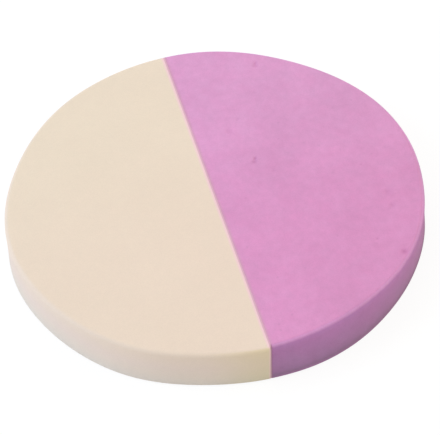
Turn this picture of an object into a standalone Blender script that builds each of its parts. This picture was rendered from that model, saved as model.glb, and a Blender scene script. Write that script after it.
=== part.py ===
# Round makeup sponge in two colours.
#
# The sponge is one flat disc with softly rounded rims. A straight seam through its middle
# parts it into a cream and a pink half disc of foam, and a thin film of adhesive bonds them.
# Lengths are in metres. The underside lies on Z = 0 and Z points up, the disc's centre is on
# the Z axis, the seam runs along Y, cream lies towards -X and pink towards +X.

from math import cos, pi, radians, sin

import bmesh
import bpy

# Driving dimensions
SPONGE_DIAMETER = 0.0600
SPONGE_THICKNESS = 0.0066
TOP_RIM_RADIUS = 0.0006
BOTTOM_RIM_RADIUS = 0.00045
ADHESIVE_THICKNESS = 0.0002

# Fineness of the mesh
DISC_SEGMENTS = 128
RIM_STEPS = 5
SMOOTH_UP_TO = radians(35)
WELD_DISTANCE = 0.000001

# Finish of each piece: colour as sRGB hex, and roughness
CREAM_FOAM = ("eedac9", 0.92)
PINK_FOAM = ("dd97c7", 0.92)
DRY_ADHESIVE = ("e4bac8", 0.60)

# Sizes that follow from the driving dimensions
DISC_RADIUS = SPONGE_DIAMETER / 2
CREAM_BOND_X = -ADHESIVE_THICKNESS / 2
PINK_BOND_X = ADHESIVE_THICKNESS / 2


def clear_scene():
    """Remove every object that the file opens with."""
    for item in list(bpy.data.objects):
        bpy.data.objects.remove(item, do_unlink=True)


def linear_colour(hex_text):
    """Turn an sRGB hex colour into linear red, green, blue and alpha."""
    channels = []
    for start in (0, 2, 4):
        value = int(hex_text[start:start + 2], 16) / 255
        channels.append(value / 12.92 if value <= 0.04045 else ((value + 0.055) / 1.055) ** 2.4)
    return (*channels, 1.0)


def make_material(name, finish):
    """Give a matt, non-metallic material of the finish's colour and roughness."""
    hex_text, roughness = finish
    material = bpy.data.materials.new(name)
    material.use_nodes = True
    shader = material.node_tree.nodes["Principled BSDF"]
    shader.inputs["Base Color"].default_value = linear_colour(hex_text)
    shader.inputs["Roughness"].default_value = roughness
    shader.inputs["Metallic"].default_value = 0.0
    material.diffuse_color = linear_colour(hex_text)
    return material


def rim_section():
    """Half section of the rim, from the underside's flat, up the wall, to the top's flat.

    Both roundings are quarter circles that meet the wall and the flats without a step.
    """
    points = []
    for step in range(RIM_STEPS + 1):
        turn = pi / 2 * step / RIM_STEPS
        radius = DISC_RADIUS - BOTTOM_RIM_RADIUS * (1 - sin(turn))
        points.append((radius, 0.0, BOTTOM_RIM_RADIUS * (1 - cos(turn))))
    for step in range(RIM_STEPS + 1):
        turn = pi / 2 * step / RIM_STEPS
        radius = DISC_RADIUS - TOP_RIM_RADIUS * (1 - cos(turn))
        points.append((radius, 0.0, SPONGE_THICKNESS - TOP_RIM_RADIUS * (1 - sin(turn))))
    return points


def turned_disc():
    """The whole disc: the rim section spun about Z, and a flat face over each end of it."""
    disc = bmesh.new()
    corners = [disc.verts.new(point) for point in rim_section()]
    section = [disc.edges.new(pair) for pair in zip(corners, corners[1:])]
    bmesh.ops.spin(
        disc,
        geom=corners + section,
        cent=(0, 0, 0),
        axis=(0, 0, 1),
        angle=2 * pi,
        steps=DISC_SEGMENTS,
    )
    bmesh.ops.remove_doubles(disc, verts=disc.verts, dist=WELD_DISTANCE)
    open_edges = [edge for edge in disc.edges if edge.is_boundary]
    bmesh.ops.holes_fill(disc, edges=open_edges, sides=DISC_SEGMENTS)
    return disc


def cut_flat(disc, plane_x, keep_side):
    """Cut the disc along X = plane_x, keep the side named by -1 or +1, and close the cut."""
    cut = bmesh.ops.bisect_plane(
        disc,
        geom=disc.verts[:] + disc.edges[:] + disc.faces[:],
        dist=WELD_DISTANCE,
        plane_co=(plane_x, 0, 0),
        plane_no=(keep_side, 0, 0),
        clear_inner=True,
    )
    edge_loop = [item for item in cut["geom_cut"] if isinstance(item, bmesh.types.BMEdge)]
    for item in cut["geom_cut"]:
        if isinstance(item, bmesh.types.BMVert):
            item.co.x = plane_x
    bmesh.ops.contextual_create(disc, geom=edge_loop)


def listed_by_place(disc):
    """Give the disc's corners and faces as lists whose order follows from their place alone.

    Spinning and cutting leave them in a chance order, and a flat face with many sides is
    divided from its first corner. So each face starts at its lowest-numbered corner here.
    """
    corners = sorted(disc.verts, key=lambda corner: corner.co[:])
    number = {corner: index for index, corner in enumerate(corners)}
    faces = []
    for face in disc.faces:
        around = [number[corner] for corner in face.verts]
        first = around.index(min(around))
        faces.append(around[first:] + around[:first])
    return [corner.co[:] for corner in corners], sorted(faces)


def make_slice(name, material, cuts):
    """Make one piece of the sponge: the disc, cut flat at each (plane_x, keep_side) of cuts."""
    disc = turned_disc()
    for plane_x, keep_side in cuts:
        cut_flat(disc, plane_x, keep_side)
    bmesh.ops.recalc_face_normals(disc, faces=disc.faces)
    corners, faces = listed_by_place(disc)
    disc.free()
    mesh = bpy.data.meshes.new(name)
    mesh.from_pydata(corners, [], faces)
    mesh.materials.append(material)
    mesh.shade_smooth()
    mesh.set_sharp_from_angle(angle=SMOOTH_UP_TO)
    piece = bpy.data.objects.new(name, mesh)
    bpy.context.collection.objects.link(piece)
    return piece


def main():
    """Build the two foam halves and the film between them, bonded face to face."""
    clear_scene()
    make_slice(
        "cream_foam_half",
        make_material("cream_foam", CREAM_FOAM),
        [(CREAM_BOND_X, -1)],
    )
    make_slice(
        "pink_foam_half",
        make_material("pink_foam", PINK_FOAM),
        [(PINK_BOND_X, +1)],
    )
    make_slice(
        "seam_adhesive",
        make_material("dry_adhesive", DRY_ADHESIVE),
        [(CREAM_BOND_X, +1), (PINK_BOND_X, -1)],
    )


main()
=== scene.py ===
import math

import bmesh
import bpy
import numpy as np
from mathutils import Matrix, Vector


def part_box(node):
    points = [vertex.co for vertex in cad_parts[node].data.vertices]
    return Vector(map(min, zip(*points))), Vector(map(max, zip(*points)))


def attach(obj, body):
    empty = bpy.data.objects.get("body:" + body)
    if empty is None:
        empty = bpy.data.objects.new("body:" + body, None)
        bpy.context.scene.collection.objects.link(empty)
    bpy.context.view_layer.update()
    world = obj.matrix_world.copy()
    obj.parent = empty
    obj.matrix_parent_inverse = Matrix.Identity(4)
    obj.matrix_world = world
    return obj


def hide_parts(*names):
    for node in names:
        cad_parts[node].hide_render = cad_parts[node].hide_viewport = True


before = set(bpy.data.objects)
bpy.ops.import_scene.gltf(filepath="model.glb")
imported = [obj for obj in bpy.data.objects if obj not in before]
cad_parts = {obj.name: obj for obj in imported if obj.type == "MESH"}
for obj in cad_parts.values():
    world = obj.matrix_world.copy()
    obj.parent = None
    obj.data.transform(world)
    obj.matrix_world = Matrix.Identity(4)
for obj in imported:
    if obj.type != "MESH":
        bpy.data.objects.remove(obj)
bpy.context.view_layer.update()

# A round makeup sponge: a cream and a pink half disc of foam, bonded along a straight seam.
# Everything is in metres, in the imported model's frame: Z up, the seam along Y, pink towards +X.

mm = 0.001
body = "root"                  # the sponge has no joints, so all of it is one body
weldDistance = 0.0005 * mm     # points this close are one point, where two grids share an edge
sharpAngle = math.radians(60)  # edges that turn by more than this stay crisp

pinkLow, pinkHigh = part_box("pink_foam_half")
discRadius = (pinkHigh.y - pinkLow.y) / 2
discThickness = pinkHigh.z - pinkLow.z
bondOffset = pinkLow.x  # from the middle of the seam to the foam's flat bonded face
print("packed disc loaded:", round(2 * discRadius / mm, 1), "by", round(discThickness / mm, 1), "mm")


# The punched shape that all three pieces share

punchedDisc = {
    "topRim": 0.60 * mm,     # radius of the soft upper edge
    "bottomRim": 0.45 * mm,  # radius of the lower edge
    "waist": 0.04 * mm,      # how far the wall draws in at half height, as punched foam does
    # size of the outline's swell with one lobe, with two lobes and so on, and its direction in
    # degrees from +X: the first makes the cream half the wider one, because the punch missed the
    # seam, and the others leave the disc about a tenth of a millimetre out of round
    "swells": [(0.27 * mm, 168), (0.09 * mm, -76), (0.11 * mm, -34), (0.15 * mm, 12),
               (0.07 * mm, 12), (0.04 * mm, -6), (0.09 * mm, 25)],
    # the punch squeezed the foam a little, so the wall isn't quite upright: size, direction and
    # width in degrees of each soft hump by which the top edge stands out past the lower one, or
    # with a minus stays inside it
    "topShifts": {
        -1: [(0.21 * mm, -93, 25)],                        # cream half
        1: [(-0.60 * mm, -74, 18), (0.42 * mm, -37, 16)],  # pink half
    },
    "lean": 0.31 * mm,       # the seam runs this much nearer to the cream side on the underside
    "leanWidth": 6.0 * mm,   # and the foam beside it leans with it this far out
    "rimSteps": 9,
    "wallSteps": 28,
}


def smoothShare(value, low, high):
    # 0 below low, 1 above high, and an s-shaped rise between: 3t^2 - 2t^3
    share = np.clip((value - low) / (high - low), 0, 1)
    return share * share * (3 - 2 * share)


def outlineRadius(angle):
    # radius in the direction angle: the disc's radius plus one cosine for each lobe count
    radius = np.full_like(angle, discRadius)
    for lobes, (size, towards) in enumerate(punchedDisc["swells"], 1):
        radius += size * np.cos(lobes * (angle - math.radians(towards)))
    return radius


def topShift(side, angle):
    # how far the top edge lies outside the outline: for each hump, size exp(-(degrees away / width)^2)
    shift = np.zeros_like(angle)
    for size, towards, width in punchedDisc["topShifts"][side]:
        away = (np.degrees(angle) - towards + 180) % 360 - 180
        shift += size * np.exp(-(away / width) ** 2)
    return shift


def lean(points):
    # the seam's plane leans: x moves by -lean (1 - z / thickness), less and less out to leanWidth
    share = 1 - smoothShare(np.abs(points[:, 0]), 0, punchedDisc["leanWidth"])
    points[:, 0] -= punchedDisc["lean"] * (1 - points[:, 2] / discThickness) * share


def wallProfile():
    # inset from the outline and height, from the top down: a quarter circle, the wall drawn in by
    # waist sin(pi down), and a quarter circle
    top, bottom = punchedDisc["topRim"], punchedDisc["bottomRim"]
    turn = np.linspace(0, math.pi / 2, punchedDisc["rimSteps"] + 1)
    down = np.linspace(0, 1, punchedDisc["wallSteps"] + 1)[1:-1]
    inset = np.concatenate([
        top * (1 - np.sin(turn)),
        punchedDisc["waist"] * np.sin(math.pi * down),
        bottom * (1 - np.cos(turn)),
    ])
    height = np.concatenate([
        discThickness - top * (1 - np.cos(turn)),
        discThickness - top + down * (bottom + top - discThickness),
        bottom * (1 - np.sin(turn)),
    ])
    return inset, height


def softWaves(points, shortest, longest, waves, seed):
    # smooth unevenness of about unit size: plane sine waves added up, each with its own seeded
    # direction and phase, and a wavelength between shortest and longest
    draw = np.random.default_rng(seed)
    direction = draw.normal(size=(waves, 3))
    direction /= np.linalg.norm(direction, axis=1, keepdims=True)
    length = shortest * (longest / shortest) ** draw.random(waves)
    phase = draw.random(waves) * 2 * math.pi
    radiansPerMetre = direction / length[:, None] * 2 * math.pi
    return np.sin(points @ radiansPerMetre.T + phase).sum(axis=1) / math.sqrt(waves / 2)


# Meshes from point grids

def gridFaces(rows, columns, start=0):
    # the four corners of every cell of a rows by columns grid whose points are numbered from start
    corner = start + np.arange(rows * columns).reshape(rows, columns)
    cells = [corner[:-1, :-1], corner[1:, :-1], corner[1:, 1:], corner[:-1, 1:]]
    return np.stack(cells, axis=-1).reshape(-1, 4)


def weldedMesh(name, patches):
    # one closed mesh from point grids of shape (rows, columns, 3) whose shared edges are merged
    points, faces, start = [], [], 0
    for patch in patches:
        rows, columns = patch.shape[:2]
        points.append(patch.reshape(-1, 3))
        faces.append(gridFaces(rows, columns, start))
        start += rows * columns
    mesh = bpy.data.meshes.new(name)
    mesh.from_pydata(np.vstack(points), [], np.vstack(faces))
    solid = bmesh.new()
    solid.from_mesh(mesh)
    bmesh.ops.remove_doubles(solid, verts=solid.verts, dist=weldDistance)
    bmesh.ops.recalc_face_normals(solid, faces=solid.faces)
    solid.to_mesh(mesh)
    solid.free()
    return mesh


def readVectors(items, name):
    # the vectors that a mesh keeps under that name, as rows of x, y and z
    values = np.empty(len(items) * 3)
    items.foreach_get(name, values)
    return values.reshape(-1, 3)


def finishMesh(mesh, points, attributes):
    # puts the moved points back, with the values that the materials read, and shades it smooth
    mesh.vertices.foreach_set("co", points.ravel())
    for name, values in attributes.items():
        mesh.attributes.new(name, "FLOAT", "POINT").data.foreach_set("value", values)
    mesh.shade_smooth()
    mesh.set_sharp_from_angle(angle=sharpAngle)
    mesh.update()


def addPiece(name, mesh, material):
    mesh.materials.append(material)
    piece = bpy.data.objects.new(name, mesh)
    bpy.context.scene.collection.objects.link(piece)
    return piece


# Materials

def linearColour(hexText):
    # sRGB hex to linear red, green and blue, with alpha 1
    channel = np.array([int(hexText[at:at + 2], 16) for at in (0, 2, 4)]) / 255
    linear = np.where(channel <= 0.04045, channel / 12.92, ((channel + 0.055) / 1.055) ** 2.4)
    return (*linear.tolist(), 1.0)


def addNode(tree, kind, settings, sockets):
    # one node with its own settings; each socket gets a value, or a link if it is given an output
    node = tree.nodes.new(kind)
    for name, value in settings.items():
        setattr(node, name, value)
    for name, value in sockets.items():
        if isinstance(value, bpy.types.NodeSocket):
            tree.links.new(value, node.inputs[name])
        else:
            node.inputs[name].default_value = value
    return node


def newMaterial(name):
    material = bpy.data.materials.new(name)
    material.use_nodes = True
    material.node_tree.nodes.clear()
    return material, material.node_tree


# Sliced and punched polyurethane foam: a fine, matt, faintly velvety face where the block was
# sliced, and a wall with upright drag marks where the punch cut it, which is darker on the pink
# half and carries painted shade by height. The real cells are about 0.15 mm wide, just under a
# pixel of the main view, so they are drawn at 0.2 mm with little contrast.

foamLooks = {
    "cream": {
        "faceFront": "eedac9",       # sliced face towards the front
        "faceBack": "eddcc9",        # and towards the back
        "driftRight": (0.01, -0.005, 0.005),  # shares by which red, green and blue rise to the right
        # the wall's colours by height are painted shade: lighter towards the top, a little darker at the
        # lower edge
        "wall": [(0.5, "e8dccf"), (2.0, "ecdccd"), (3.5, "eedbcd"), (5.6, "f0dcca"),
                 (6.2, "f1ddca")],   # heights in mm, and the wall's colour there
        "wallBesideSeam": "f9faea",  # multiplied into the wall's colour next to the seam's front end
        "rim": "ffffff",             # multiplied in where the face turns over into the wall
        "soakedFace": "f8d1da",      # foam that drew in adhesive beside the seam
        "soakedWall": "f6d4d2",
        # colour of the painted shade in pits
        "pit": "d3bba4",
        "openCell": 0.02,            # how much darker a larger opened cell is
        "cellContrast": 0.018,
        "patchContrast": 0.008,
        "hueContrast": 0.003,
    },
    "pink": {
        "faceFront": "dd97c7",
        "faceBack": "de9fcd",
        "driftRight": (-0.032, -0.047, -0.053),
        # the wall's colours by height are painted shade, darkest just above the lower edge where the wall
        # meets the floor and lighter upwards; the top stop is a painted highlight along the rim
        "wall": [(0.35, "b282b2"), (0.7, "9f7ba1"), (1.4, "ad80ae"), (2.2, "b282b2"),
                 (5.3, "bb81b8"), (6.1, "c085c0"), (6.45, "dea1d8")],
        "wallBesideSeam": "fafcf8",
        "rim": "fdfaff",
        "soakedFace": "d59dbd",
        "soakedWall": "a97d9a",
        # colour of the painted shade in pits
        "pit": "bf76a6",
        "openCell": 0.10,
        "cellContrast": 0.03,
        "patchContrast": 0.034,
        "hueContrast": 0.022,
    },
}

foamPattern = {
    "cell": 0.20,                  # mm, width of a drawn cell
    "cellRange": (0.0, 0.7),       # from a cell's middle to its wall, in cell widths
    "patch": 1.3,                  # mm, width of the finer mottle
    "cloud": 8.0,                  # mm, width of the broad drift in tone
    "hue": 2.2,                    # mm, width of the patches that took up more or less dye
    "hueShares": (-0.2, 1.0, 0.5),  # how far red, green and blue rise where there is less dye
    "noiseRange": (0.3, 0.7),      # lowest and highest value of a soft noise
    "openCellEvery": 2.2,          # mm between the larger cells that the slicing blade opened
    "openCellWidth": 0.7,          # mm
    "frontToBack": (-12.0, 22.0),  # mm along Y over which the front's colours turn into the back's
    "besideSeam": (0.0, 10.0),     # mm from the seam's middle over which the wall's tint fades
    "soakedFace": (0.10, 0.60),    # and the same for the soaked foam
    "soakedWall": (0.10, 0.35),
    "dragMark": 0.35,              # mm, spacing of the upright marks that the punch leaves
    "dragLength": 4.0,             # mm
    "cellRelief": 0.008 * mm,      # how far the cell walls stand up
    "finish": {"Roughness": 0.95, "IOR": 1.45, "Specular IOR Level": 0.15,
               "Sheen Weight": 0.06, "Sheen Roughness": 0.6},
}


def foamMaterial(name, look):
    material, tree = newMaterial(name)
    inMetres = addNode(tree, "ShaderNodeTexCoord", {}, {}).outputs["Object"]
    axes = addNode(tree, "ShaderNodeSeparateXYZ", {}, {0: inMetres})
    place = addNode(tree, "ShaderNodeVectorMath", {"operation": "SCALE"},
                    {"Vector": inMetres, "Scale": 1 / mm}).outputs["Vector"]
    cutWall, pit, fromSeam = (
        addNode(tree, "ShaderNodeAttribute", {"attribute_name": attribute}, {}).outputs["Fac"]
        for attribute in ("cutWall", "pit", "fromSeam")
    )

    # tone: the middle of each cell a little darker, then the mottle and the broad drift
    cells = addNode(tree, "ShaderNodeTexVoronoi", {"feature": "F1"},
                    {"Vector": place, "Scale": 1 / foamPattern["cell"]}).outputs["Distance"]
    patches = addNode(tree, "ShaderNodeTexNoise", {},
                      {"Vector": place, "Scale": 1 / foamPattern["patch"],
                       "Detail": 3.0, "Roughness": 0.6}).outputs["Fac"]
    clouds = addNode(tree, "ShaderNodeTexNoise", {},
                     {"Vector": place, "Scale": 1 / foamPattern["cloud"], "Detail": 1.0}).outputs["Fac"]
    tones = []
    for pattern, (low, high), contrast in (
        (cells, foamPattern["cellRange"], look["cellContrast"]),
        (patches, foamPattern["noiseRange"], look["patchContrast"]),
        (clouds, foamPattern["noiseRange"], look["patchContrast"]),
    ):
        tones.append(addNode(tree, "ShaderNodeMapRange", {},
                             {"Value": pattern, "From Min": low, "From Max": high,
                              "To Min": 1 - contrast, "To Max": 1 + contrast}).outputs["Result"])

    # larger opened cells: soft darker spots, each with a strength of its own
    spots = addNode(tree, "ShaderNodeTexVoronoi", {"feature": "F1"},
                    {"Vector": place, "Scale": 1 / foamPattern["openCellEvery"]})
    spotShape = addNode(tree, "ShaderNodeMapRange", {"interpolation_type": "SMOOTHSTEP"},
                        {"Value": spots.outputs["Distance"], "From Min": 0.0,
                         "From Max": foamPattern["openCellWidth"] / 2 / foamPattern["openCellEvery"],
                         "To Min": look["openCell"], "To Max": 0.0})
    ownStrength = addNode(tree, "ShaderNodeSeparateXYZ", {}, {0: spots.outputs["Color"]})
    darker = addNode(tree, "ShaderNodeMath", {"operation": "MULTIPLY"},
                     {0: spotShape.outputs["Result"], 1: ownStrength.outputs["X"]})
    tones.append(addNode(tree, "ShaderNodeMath", {"operation": "SUBTRACT"},
                         {0: 1.0, 1: darker.outputs["Value"]}).outputs["Value"])
    tone = tones[0]
    for other in tones[1:]:
        tone = addNode(tree, "ShaderNodeMath", {"operation": "MULTIPLY"},
                       {0: tone, 1: other}).outputs["Value"]

    # shares that fade out away from the seam, and one that rises from the front to the back
    fade = {}
    for tint in ("besideSeam", "soakedFace", "soakedWall"):
        near, far = foamPattern[tint]
        fade[tint] = addNode(tree, "ShaderNodeMapRange", {"interpolation_type": "SMOOTHSTEP"},
                             {"Value": fromSeam, "From Min": near, "From Max": far,
                              "To Min": 1.0, "To Max": 0.0}).outputs["Result"]
    front, back = foamPattern["frontToBack"]
    backShare = addNode(tree, "ShaderNodeMapRange", {"interpolation_type": "SMOOTHSTEP"},
                        {"Value": axes.outputs["Y"],
                         "From Min": front * mm, "From Max": back * mm}).outputs["Result"]
    frontShare = addNode(tree, "ShaderNodeMath", {"operation": "SUBTRACT"}, {0: 1.0, 1: backShare})
    seamFront = addNode(tree, "ShaderNodeMath", {"operation": "MULTIPLY"},
                        {0: fade["besideSeam"], 1: frontShare.outputs["Value"]}).outputs["Value"]

    # the wall: its colour goes by height, holding painted shade and, on the pink half, a painted
    # highlight at the top; it is tinted beside the seam's front end and where soaked
    height = addNode(tree, "ShaderNodeMapRange", {},
                     {"Value": axes.outputs["Z"], "From Min": 0.0, "From Max": discThickness})
    paintedShadeByHeight = addNode(tree, "ShaderNodeValToRGB", {}, {"Fac": height.outputs["Result"]})
    stops = paintedShadeByHeight.color_ramp.elements
    for number, (level, colour) in enumerate(look["wall"]):
        stop = stops[number] if number < len(stops) else stops.new(1.0)
        stop.position = level * mm / discThickness
        stop.color = linearColour(colour)
    wall = addNode(tree, "ShaderNodeMix", {"data_type": "RGBA", "blend_type": "MULTIPLY"},
                   {0: seamFront, 6: paintedShadeByHeight.outputs["Color"], 7: linearColour(look["wallBesideSeam"])})
    wall = addNode(tree, "ShaderNodeMix", {"data_type": "RGBA"},
                   {0: fade["soakedWall"], 6: wall.outputs[2], 7: linearColour(look["soakedWall"])})

    # the face: from the front's colour to the back's, drifting towards the right, and soaked
    # beside the seam
    face = addNode(tree, "ShaderNodeMix", {"data_type": "RGBA"},
                   {0: backShare, 6: linearColour(look["faceFront"]), 7: linearColour(look["faceBack"])})
    drift = addNode(tree, "ShaderNodeVectorMath", {"operation": "MULTIPLY_ADD"},
                    {0: axes.outputs["X"], 1: tuple(share / discRadius for share in look["driftRight"]),
                     2: (1, 1, 1)})
    face = addNode(tree, "ShaderNodeVectorMath", {"operation": "MULTIPLY"},
                   {0: face.outputs[2], 1: drift.outputs["Vector"]})
    face = addNode(tree, "ShaderNodeMix", {"data_type": "RGBA"},
                   {0: fade["soakedFace"], 6: face.outputs["Vector"], 7: linearColour(look["soakedFace"])})

    # both together, with a tint on the rim, where 4 s (1 - s) is 1 halfway, and a darker one in pits as
    # painted shade
    notWall = addNode(tree, "ShaderNodeMath", {"operation": "SUBTRACT"}, {0: 1.0, 1: cutWall})
    turning = addNode(tree, "ShaderNodeMath", {"operation": "MULTIPLY"},
                      {0: cutWall, 1: notWall.outputs["Value"]})
    onRim = addNode(tree, "ShaderNodeMath", {"operation": "MULTIPLY"},
                    {0: turning.outputs["Value"], 1: 4.0})
    surface = addNode(tree, "ShaderNodeMix", {"data_type": "RGBA"},
                      {0: cutWall, 6: face.outputs[2], 7: wall.outputs[2]})
    surface = addNode(tree, "ShaderNodeMix", {"data_type": "RGBA", "blend_type": "MULTIPLY"},
                      {0: onRim.outputs["Value"], 6: surface.outputs[2], 7: linearColour(look["rim"])})
    surface = addNode(tree, "ShaderNodeMix", {"data_type": "RGBA"},
                      {0: pit, 6: surface.outputs[2], 7: linearColour(look["pit"])})
    toned = addNode(tree, "ShaderNodeVectorMath", {"operation": "SCALE"},
                    {0: surface.outputs[2], "Scale": tone})

    # patches with more dye are lower in green and a little lower in blue
    low, high = foamPattern["noiseRange"]
    dye = addNode(tree, "ShaderNodeTexNoise", {},
                  {"Vector": place, "Scale": 1 / foamPattern["hue"], "Detail": 2.0})
    dyeShare = addNode(tree, "ShaderNodeMapRange", {},
                       {"Value": dye.outputs["Fac"], "From Min": low, "From Max": high,
                        "To Min": -1.0, "To Max": 1.0})
    hueChange = tuple(look["hueContrast"] * share for share in foamPattern["hueShares"])
    hueTone = addNode(tree, "ShaderNodeVectorMath", {"operation": "MULTIPLY_ADD"},
                      {0: dyeShare.outputs["Result"], 1: hueChange, 2: (1, 1, 1)})
    colour = addNode(tree, "ShaderNodeVectorMath", {"operation": "MULTIPLY"},
                     {0: toned.outputs["Vector"], 1: hueTone.outputs["Vector"]})

    # relief: cell walls stand up, and the wall has fine upright drag marks
    perMark, perLength = 1 / foamPattern["dragMark"], 1 / foamPattern["dragLength"]
    upright = addNode(tree, "ShaderNodeVectorMath", {"operation": "MULTIPLY"},
                      {0: place, 1: (perMark, perMark, perLength)})
    drag = addNode(tree, "ShaderNodeTexNoise", {},
                   {"Vector": upright.outputs["Vector"], "Scale": 1.0, "Detail": 2.0})
    dragOnWall = addNode(tree, "ShaderNodeMath", {"operation": "MULTIPLY"},
                         {0: drag.outputs["Fac"], 1: cutWall})
    relief = addNode(tree, "ShaderNodeMath", {"operation": "ADD"},
                     {0: cells, 1: dragOnWall.outputs["Value"]})
    bump = addNode(tree, "ShaderNodeBump", {},
                   {"Height": relief.outputs["Value"], "Distance": foamPattern["cellRelief"],
                    "Strength": 1.0})

    shader = addNode(tree, "ShaderNodeBsdfPrincipled", {},
                     {"Base Color": colour.outputs["Vector"], "Normal": bump.outputs["Normal"],
                      **foamPattern["finish"]})
    addNode(tree, "ShaderNodeOutputMaterial", {}, {"Surface": shader.outputs["BSDF"]})
    return material


# Dried contact adhesive: a thin rubbery skin, a little smoother than the foam, tinted by the pink.

adhesiveLook = {
    "face": "e4bac8",
    "wall": "cfaeb9",
    "cloudy": "f7f0f4",  # multiplied in where the skin is cloudy
    "cloud": 0.8,        # mm, width of the cloudy spots
    "relief": 0.01 * mm,  # how far those spots stand up
    "finish": {"Roughness": 0.6, "IOR": 1.5, "Specular IOR Level": 0.3},
}


def adhesiveMaterial():
    material, tree = newMaterial("driedContactAdhesive")
    inMetres = addNode(tree, "ShaderNodeTexCoord", {}, {}).outputs["Object"]
    place = addNode(tree, "ShaderNodeVectorMath", {"operation": "SCALE"},
                    {"Vector": inMetres, "Scale": 1 / mm}).outputs["Vector"]
    clouds = addNode(tree, "ShaderNodeTexNoise", {},
                     {"Vector": place, "Scale": 1 / adhesiveLook["cloud"], "Detail": 2.0})
    cutWall = addNode(tree, "ShaderNodeAttribute", {"attribute_name": "cutWall"}, {})
    skin = addNode(tree, "ShaderNodeMix", {"data_type": "RGBA"},
                   {0: cutWall.outputs["Fac"], 6: linearColour(adhesiveLook["face"]),
                    7: linearColour(adhesiveLook["wall"])})
    colour = addNode(tree, "ShaderNodeMix", {"data_type": "RGBA", "blend_type": "MULTIPLY"},
                     {0: clouds.outputs["Fac"], 6: skin.outputs[2],
                      7: linearColour(adhesiveLook["cloudy"])})
    bump = addNode(tree, "ShaderNodeBump", {},
                   {"Height": clouds.outputs["Fac"], "Distance": adhesiveLook["relief"],
                    "Strength": 1.0})
    shader = addNode(tree, "ShaderNodeBsdfPrincipled", {},
                     {"Base Color": colour.outputs[2], "Normal": bump.outputs["Normal"],
                      **adhesiveLook["finish"]})
    addNode(tree, "ShaderNodeOutputMaterial", {}, {"Surface": shader.outputs["BSDF"]})
    return material


# Foam halves

foamHalves = {
    "beside": [0.0, 0.04 * mm, 0.09 * mm, 0.16 * mm, 0.25 * mm],  # fine rows beside the seam
    "rowsFrom": 0.4 * mm,      # the even rows start here
    "across": 122,             # even rows, up to the rim
    "along": 252,              # columns along the seam
    "bondReach": 0.001 * mm,   # a point this near to the bonded face's plane lies on it
    "bondTilt": 0.1,           # and inside its outline if its normal turns less than this off X
    "seamDip": 0.015 * mm,     # the glued edge is drawn down this far
    "seamDipWidth": 0.24 * mm,
    "followsEdge": 0.4 * mm,   # the bonded face follows its dipped edges this far in
    "unevenness": 0.012 * mm,  # slow rise and fall of the sliced faces
    "unevenWaves": {"shortest": 7 * mm, "longest": 20 * mm, "waves": 24, "seed": 5},
    "grain": 0.0012 * mm,      # fine grain of the cut foam
    "grainWaves": {"shortest": 0.9 * mm, "longest": 1.8 * mm, "waves": 60, "seed": 6},
    "wallFrom": (0.0, 0.20),   # 1 - cosine of the tilt where the wall's look starts and is complete
}

pitShape = {
    "clear": 2.6 * mm,         # least distance of a random pit from others, the seam and the rims
    "wallTo": 80,              # degrees from the middle of a half's wall to its outermost pits
    "wallScatter": 6,          # degrees by which they stray from even places
    "wallHeight": (0.35, 0.7),  # shares of the thickness between which they lie
    "reach": 0.4 * mm,         # a pit moves points up to this far above or below its centre
    "facing": (0.9, 1.0),      # and those whose normal has this cosine to its own, partly to fully
    "lensPull": 0.5,           # how strongly the grid is drawn in towards a pit
    "lensWidth": 1.2 * mm,     # and how far out
    "lensEnd": 3,              # lens widths after which nothing moves
    "counted": 0.1,            # tint from which the printed count takes a point as down in a pit
}

# place on the top face, width and depth in mm, and strength of the tint, chosen to match
# the soft dark marks in the photograph
# the tint darkens each pit as painted shade in its hollow
pinkPits = [
    (12.6, 24.85, 1.30, 0.06, 0.46),
    (12.4, 24.15, 1.20, 0.05, 0.40),
    (7.5, 5.95, 1.05, 0.07, 0.75),
    (7.1, 5.15, 1.15, 0.05, 0.55),
    (5.2, 12.2, 1.60, 0.06, 0.28),
    (7.0, 14.2, 0.95, 0.05, 0.22),
    (23.6, -6.5, 2.00, 0.06, 0.23),
    (23.5, -9.2, 1.35, 0.05, 0.34),
    (22.6, -18.3, 1.60, 0.05, 0.72),
]

# how many small pinholes lie on each surface, and their range of widths, depths and tints of painted shade
pinholes = {
    "cream": {"face": 2, "wall": 2, "width": (0.4 * mm, 0.5 * mm), "depth": (0.02 * mm, 0.03 * mm),
              "tint": (0.1, 0.3), "seed": 11},
    "pink": {"face": 4, "wall": 4, "width": (0.4 * mm, 0.7 * mm), "depth": (0.02 * mm, 0.05 * mm),
             "tint": (0.2, 0.5), "seed": 23},
}


def scatterPits(side, choice):
    # rows of centre, outward normal, radius, depth and tint: the listed pits, and random
    # ones on the top, the underside and the wall
    draw = np.random.default_rng(choice["seed"])
    clear = pitShape["clear"]

    def sizes():
        width, depth, tint = (draw.uniform(*choice[size]) for size in ("width", "depth", "tint"))
        return width / 2, depth, tint

    pits = []
    for height, normalZ in ((discThickness, 1), (0.0, -1)):
        taken = []
        if side > 0 and normalZ > 0:
            for x, y, width, depth, tint in pinkPits:
                taken.append(np.array([x * mm, y * mm]))
                pits.append(((x * mm, y * mm, height), (0, 0, 1), width * mm / 2, depth * mm, tint))
        wanted = len(taken) + choice["face"]
        while len(taken) < wanted:
            spot = draw.uniform(-discRadius, discRadius, 2)
            inside = side * spot[0] > clear and np.hypot(*spot) < discRadius - clear
            if inside and all(np.hypot(*(spot - other)) > clear for other in taken):
                taken.append(spot)
                pits.append(((spot[0], spot[1], height), (0, 0, normalZ), *sizes()))

    farthest, scatter = pitShape["wallTo"], pitShape["wallScatter"]
    places = np.linspace(-farthest, farthest, choice["wall"])
    for angle in places + draw.uniform(-scatter, scatter, choice["wall"]):
        turn = math.radians(angle) if side > 0 else math.pi - math.radians(angle)
        height = draw.uniform(*pitShape["wallHeight"]) * discThickness
        there = np.array([turn])
        radius = (outlineRadius(there) + topShift(side, there) * height / discThickness)[0]
        centre = (radius * math.cos(turn), radius * math.sin(turn), height)
        pits.append((centre, (math.cos(turn), math.sin(turn), 0), *sizes()))
    return pits


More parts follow.
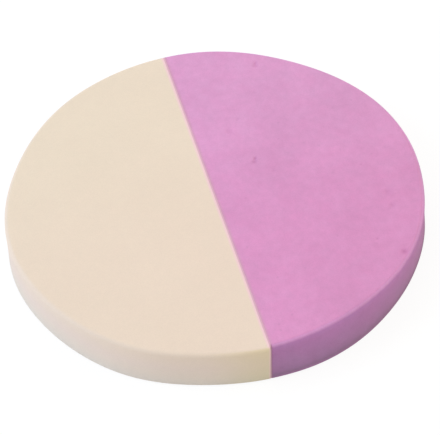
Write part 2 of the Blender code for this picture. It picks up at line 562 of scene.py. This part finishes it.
def halfDisc(name, side):
    # A half disc from three kinds of grid. The faces map a rectangle (u from the seam to the rim,
    # v along the seam) to a half disc: x = u sqrt(1 - v^2/2), y = v sqrt(1 - u^2/2), times the
    # outline's radius in that direction. The wall carries the profile round that rectangle's three
    # outer sides, and the bonded face fills the plane x = bondOffset.
    u = np.concatenate([
        np.array(foamHalves["beside"]) / discRadius,
        np.linspace(foamHalves["rowsFrom"] / discRadius, 1, foamHalves["across"]),
    ])
    v = np.linspace(-1, 1, foamHalves["along"] + 1)
    gridU, gridV = np.meshgrid(u, v, indexing="ij")
    flatX = gridU * np.sqrt(1 - gridV ** 2 / 2)
    flatY = gridV * np.sqrt(1 - gridU ** 2 / 2)

    def reach(directionX, directionY, height):
        # from the bonded face's middle to the outline at that height
        angle = np.arctan2(directionY, side * directionX)
        toOutline = outlineRadius(angle) - bondOffset * np.cos(np.arctan2(directionY, directionX))
        return toOutline + topShift(side, angle) * height / discThickness

    def facePatch(inset, height):
        far = reach(flatX, flatY, height) - inset
        x = side * (bondOffset + far * flatX)
        return np.stack([x, far * flatY, np.full_like(far, height)], axis=-1)

    inset, height = wallProfile()
    ringX = np.concatenate([flatX[:, 0], flatX[-1, 1:-1], flatX[::-1, -1]])
    ringY = np.concatenate([flatY[:, 0], flatY[-1, 1:-1], flatY[::-1, -1]])
    far = reach(ringX, ringY, height[:, None]) - inset[:, None]
    tall = np.broadcast_to(height[:, None], far.shape)
    wall = np.stack([side * (bondOffset + far * ringX), far * ringY, tall], axis=-1)

    ends = reach(np.zeros_like(v), v, height[:, None]) - inset[:, None]
    bonded = np.stack([
        np.full_like(ends, side * bondOffset),
        ends * v[None, :],
        np.broadcast_to(height[:, None], ends.shape),
    ], axis=-1)
    return weldedMesh(name, [
        facePatch(punchedDisc["topRim"], discThickness),
        wall,
        facePatch(punchedDisc["bottomRim"], 0.0),
        bonded,
    ])


def sinkPits(points, normals, fixed, pits):
    # The grid is drawn in towards each pit, p - pull (p - c) exp(-(r/w)^2), apart from the fixed
    # points of the bonded face, and then sunk. Points round the corner of a rim stay where they
    # are. Returns how strong the pits' tint is, which darkens them as painted shade.
    pitShadeShare = np.zeros(len(points))
    for centre, normal, radius, depth, tint in pits:
        normal = np.array(normal, float)
        apart = points - np.array(centre)
        along = apart @ normal
        near = np.flatnonzero(
            (np.abs(along) < pitShape["reach"])
            & (np.linalg.norm(apart, axis=1) < pitShape["lensEnd"] * pitShape["lensWidth"])
        )
        apart = apart[near] - along[near, None] * normal
        far = np.linalg.norm(apart, axis=1)
        facing = smoothShare(normals[near] @ normal, *pitShape["facing"])
        pull = pitShape["lensPull"] * np.exp(-(far / pitShape["lensWidth"]) ** 2) * facing
        pull[fixed[near]] = 0
        points[near] -= apart * pull[:, None]
        hollow = 1 - smoothShare(far * (1 - pull), 0, radius)
        points[near] -= normal * (depth * hollow * facing)[:, None]
        pitShadeShare[near] = np.maximum(pitShadeShare[near], tint * hollow)
    return pitShadeShare


def foamHalf(name, side, material, choice):
    # A half disc, raised and sunk along its normals. The bonded face stays flat, and only its
    # heights follow the dip of its upper and lower edge, fading out to nothing further in.
    mesh = halfDisc(name, side)
    points = readVectors(mesh.vertices, "co")
    normals = readVectors(mesh.vertex_normals, "vector")
    onBond = np.abs(points[:, 0] - side * bondOffset) < foamHalves["bondReach"]
    cutWall = smoothShare(1 - np.abs(normals[:, 2]), *foamHalves["wallFrom"])

    normals[onBond, 0] = 0
    length = np.linalg.norm(normals, axis=1, keepdims=True)
    least = foamHalves["bondTilt"]
    normals = np.where(length > least, normals / np.maximum(length, least), 0)
    inBond = onBond & (length[:, 0] <= least)
    fromTop, fromLow = discThickness - points[inBond, 2], points[inBond, 2]
    normals[inBond, 2] = (smoothShare(fromLow, 0, foamHalves["followsEdge"])
                          - smoothShare(fromTop, 0, foamHalves["followsEdge"]))
    cutWall[onBond] = smoothShare(1 - np.abs(normals[onBond, 2]), *foamHalves["wallFrom"])

    rise = foamHalves["unevenness"] * softWaves(points, **foamHalves["unevenWaves"])
    rise += foamHalves["grain"] * softWaves(points, **foamHalves["grainWaves"])
    besideSeam = np.abs(points[:, 0]) - bondOffset
    rise -= foamHalves["seamDip"] * (1 - smoothShare(besideSeam, 0, foamHalves["seamDipWidth"]))
    points += normals * rise[:, None]
    pitShadeShare = sinkPits(points, normals, onBond, scatterPits(side, choice))

    fromSeam = np.abs(points[:, 0]) / mm
    lean(points)
    finishMesh(mesh, points, {"cutWall": cutWall, "pit": pitShadeShare, "fromSeam": fromSeam})
    inPits = int((pitShadeShare > pitShape["counted"]).sum())
    print(name, len(mesh.polygons), "faces,", inPits, "points down in pits")
    return addPiece(name, mesh, material)


creamMaterial = foamMaterial("slicedFoamCream", foamLooks["cream"])
creamFoam = foamHalf("cream_foam", -1, creamMaterial, pinholes["cream"])
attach(creamFoam, body)
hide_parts("cream_foam_half")

pinkMaterial = foamMaterial("slicedFoamPink", foamLooks["pink"])
pinkFoam = foamHalf("pink_foam", 1, pinkMaterial, pinholes["pink"])
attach(pinkFoam, body)
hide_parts("pink_foam_half")


# Adhesive film

adhesiveFilm = {
    "across": 6,              # cells through the film's thickness
    "along": 300,             # cells along its long edges
    "sunk": 0.015 * mm,       # its edge lies this far below the faces, as the foam's dipped edge does
    "meniscus": 0.006 * mm,   # and the middle of the edge this much deeper
    "bead": 0.004 * mm,       # slow unevenness of the bead along the seam
    "beadWaves": {"shortest": 2 * mm, "longest": 6 * mm, "waves": 24, "seed": 8},
    "clearance": 0.002 * mm,  # to the foam on each side
    "wallFrom": (0.1, 0.5),   # depth in top rim radii where the wall's look starts and is complete
}


def flatSide(loop, lineSize, height):
    # A grid inside the film's edge loop. Every row runs straight from the front profile to the back
    # one, plus (1 - down) times what the top line departs from its own row, plus down times what
    # the bottom line does.
    top, back, low, front = np.split(loop, np.cumsum([lineSize, height.size, lineSize]))
    low, front = low[::-1], front[::-1]
    top = np.vstack([front[:1], top, back[:1]])[:, None]
    low = np.vstack([front[-1:], low, back[-1:]])[:, None]
    share = np.linspace(0, 1, lineSize + 2)[:, None, None]
    down = (1 - height / discThickness)[None, :, None]
    rows = (1 - share) * front + share * back
    return rows + (1 - down) * (top - rows[:, :1]) + down * (low - rows[:, -1:])


def filmMesh(name):
    # The film's edge is a loop in the YZ plane: the top line, the profile down one end, the bottom
    # line and the profile up the other end. It is carried across the film's thickness, pulled in by
    # sunk + meniscus (1 - x^2), and closed by two flat sides.
    inset, height = wallProfile()
    ends = np.array([math.pi / 2, -math.pi / 2])
    shift = (topShift(-1, ends) + topShift(1, ends)) / 2
    back, front = outlineRadius(ends)[:, None] + shift[:, None] * height / discThickness - inset
    line = np.linspace(0, 1, adhesiveFilm["along"] + 1)[1:-1]
    y = np.concatenate([
        line * (back[0] + front[0]) - front[0],
        back,
        back[-1] - line * (back[-1] + front[-1]),
        -front[::-1],
    ])
    z = np.concatenate([
        np.full(line.size, discThickness),
        height,
        np.zeros(line.size),
        height[::-1],
    ])
    # the loop runs clockwise seen from +X, so outward is to the left of its direction
    along = np.stack([np.roll(y, -1) - np.roll(y, 1), np.roll(z, -1) - np.roll(z, 1)], axis=-1)
    along /= np.linalg.norm(along, axis=1, keepdims=True)
    outY, outZ = -along[:, 1], along[:, 0]

    x = np.linspace(-1, 1, adhesiveFilm["across"] + 1)
    loop = np.stack([np.zeros_like(y), y, z], axis=-1)
    uneven = adhesiveFilm["bead"] * softWaves(loop, **adhesiveFilm["beadWaves"])
    pulled = adhesiveFilm["sunk"] + adhesiveFilm["meniscus"] * (1 - x ** 2)
    drawnIn = pulled[None, :] + uneven[:, None]
    edge = np.stack([
        np.broadcast_to(x * (bondOffset - adhesiveFilm["clearance"]), drawnIn.shape),
        y[:, None] - outY[:, None] * drawnIn,
        z[:, None] - outZ[:, None] * drawnIn,
    ], axis=-1)
    mesh = weldedMesh(name, [
        np.concatenate([edge, edge[:1]]),
        flatSide(edge[:, 0], line.size, height),
        flatSide(edge[:, -1], line.size, height),
    ])
    points = readVectors(mesh.vertices, "co")
    depth = np.minimum(points[:, 2], discThickness - points[:, 2])
    start, complete = adhesiveFilm["wallFrom"]
    cutWall = smoothShare(depth, start * punchedDisc["topRim"], complete * punchedDisc["topRim"])
    lean(points)
    finishMesh(mesh, points, {"cutWall": cutWall})
    return mesh


adhesive = addPiece("adhesive_film", filmMesh("adhesive_film"), adhesiveMaterial())
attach(adhesive, body)
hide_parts("seam_adhesive")
print("adhesive_film", len(adhesive.data.polygons), "faces")


# Floor, lamps and camera

studio = {
    "floorHex": "f2f2f2",
    "floorWhite": 0.85,     # share of plain white in what the camera sees of the floor
    "whiteStrength": 1.05,  # strength of that white
    "floorSize": 4.0,       # metres
    "floorGap": 0.06 * mm,  # the floor lies this far below the sponge's frame, clear of its relief
    "sky": 0.557,           # strength of the light from all round
    "boxDistance": 0.9,     # metres from the sponge to each softbox
    "boxSide": 0.6,         # metres
    "softboxes": {
        # bearing in degrees from +X seen from above, height in degrees, power in watts and colour
        "left_softbox": {"bearing": 168.7, "height": 35.0, "watts": 4.38, "hex": "d5e7ff"},
        "right_softbox": {"bearing": -11.3, "height": 35.0, "watts": 2.30, "hex": "ffe9a8"},
        "back_softbox": {"bearing": 78.7, "height": 50.0, "watts": 1.05, "hex": "ffffff"},
    },
}


def paleFloor():
    # pale matt backdrop paper: the camera, gloss and glass see it mostly as plain white, with the
    # sponge's shadow still faintly on it
    material, tree = newMaterial("backdropPaper")
    path = addNode(tree, "ShaderNodeLightPath", {}, {})
    seen = addNode(tree, "ShaderNodeMath", {"operation": "MAXIMUM"},
                   {0: path.outputs["Is Camera Ray"], 1: path.outputs["Is Glossy Ray"]})
    seen = addNode(tree, "ShaderNodeMath", {"operation": "MAXIMUM"},
                   {0: seen.outputs["Value"], 1: path.outputs["Is Transmission Ray"]})
    share = addNode(tree, "ShaderNodeMath", {"operation": "MULTIPLY"},
                    {0: seen.outputs["Value"], 1: studio["floorWhite"]})
    paper = addNode(tree, "ShaderNodeBsdfDiffuse", {}, {"Color": linearColour(studio["floorHex"])})
    white = addNode(tree, "ShaderNodeEmission", {}, {"Strength": studio["whiteStrength"]})
    both = addNode(tree, "ShaderNodeMixShader", {},
                   {0: share.outputs["Value"], 1: paper.outputs["BSDF"], 2: white.outputs["Emission"]})
    addNode(tree, "ShaderNodeOutputMaterial", {}, {"Surface": both.outputs["Shader"]})
    mesh = bpy.data.meshes.new("floor")
    far, low = studio["floorSize"] / 2, -studio["floorGap"]
    corners = [(-far, -far, low), (far, -far, low), (far, far, low), (-far, far, low)]
    mesh.from_pydata(corners, [], [(0, 1, 2, 3)])
    floor = addPiece("floor", mesh, material)


def softSky():
    # an even pale sky: it lights the sponge at its own strength, and the camera sees plain white
    world = bpy.data.worlds.new("paleSky")
    world.use_nodes = True
    tree = world.node_tree
    tree.nodes.clear()
    path = addNode(tree, "ShaderNodeLightPath", {}, {})
    strength = addNode(tree, "ShaderNodeMapRange", {},
                       {"Value": path.outputs["Is Camera Ray"], "To Min": studio["sky"], "To Max": 1.0})
    sky = addNode(tree, "ShaderNodeBackground", {},
                  {"Color": (1, 1, 1, 1), "Strength": strength.outputs["Result"]})
    addNode(tree, "ShaderNodeOutputWorld", {}, {"Surface": sky.outputs["Background"]})
    bpy.context.scene.world = world


def softbox(name, choice):
    # a square lamp that looks at the middle of the sponge
    lamp = bpy.data.lights.new(name, "AREA")
    lamp.shape = "SQUARE"
    lamp.size = studio["boxSide"]
    lamp.energy = choice["watts"]
    lamp.color = linearColour(choice["hex"])[:3]
    lampObject = bpy.data.objects.new(name, lamp)
    turn, rise = math.radians(choice["bearing"]), math.radians(choice["height"])
    towards = (math.cos(turn) * math.cos(rise), math.sin(turn) * math.cos(rise), math.sin(rise))
    lampObject.location = [studio["boxDistance"] * value for value in towards]
    lampObject.rotation_euler = (math.pi / 2 - rise, 0, turn + math.pi / 2)
    lampObject.visible_camera = False
    bpy.context.scene.collection.objects.link(lampObject)


camera = {
    "azimuth": -11.18,       # degrees, 0 looks along +Y
    "elevation": 46.58,
    "roll": -4.99,
    "distance": 0.54,        # metres from the point that it looks at
    "lens": 309.90,          # mm
    "sensorWidth": 36,       # mm
    "clipStart": 0.01,       # metres
    "aimRight": 0.642 * mm,  # the view's centre lies this far right of the top face's centre
    "aimUp": -2.857 * mm,    # and this far above it, so here below
}


def placeCamera():
    # back, right and up are the camera's own axes; roll turns right and up about the line of sight
    azimuth, elevation, roll = (math.radians(camera[key]) for key in ("azimuth", "elevation", "roll"))
    back = np.array([math.sin(azimuth) * math.cos(elevation), -math.cos(azimuth) * math.cos(elevation),
                     math.sin(elevation)])
    level = np.array([math.cos(azimuth), math.sin(azimuth), 0.0])
    upright = np.cross(back, level)
    right = math.cos(roll) * level + math.sin(roll) * upright
    up = math.cos(roll) * upright - math.sin(roll) * level
    aim = np.array([0, 0, discThickness]) + camera["aimRight"] * right + camera["aimUp"] * up
    lens = bpy.data.cameras.new("camera")
    lens.lens = camera["lens"]
    lens.sensor_width = camera["sensorWidth"]
    lens.clip_start = camera["clipStart"]
    view = bpy.data.objects.new("camera", lens)
    turned = Matrix(np.stack([right, up, back], axis=1).tolist()).to_4x4()
    view.matrix_world = Matrix.Translation(aim + camera["distance"] * back) @ turned
    bpy.context.scene.collection.objects.link(view)
    bpy.context.scene.camera = view


paleFloor()
softSky()
for name, choice in studio["softboxes"].items():
    softbox(name, choice)
placeCamera()
bpy.context.scene.view_settings.view_transform = "Standard"
print("floor, lamps and camera placed")
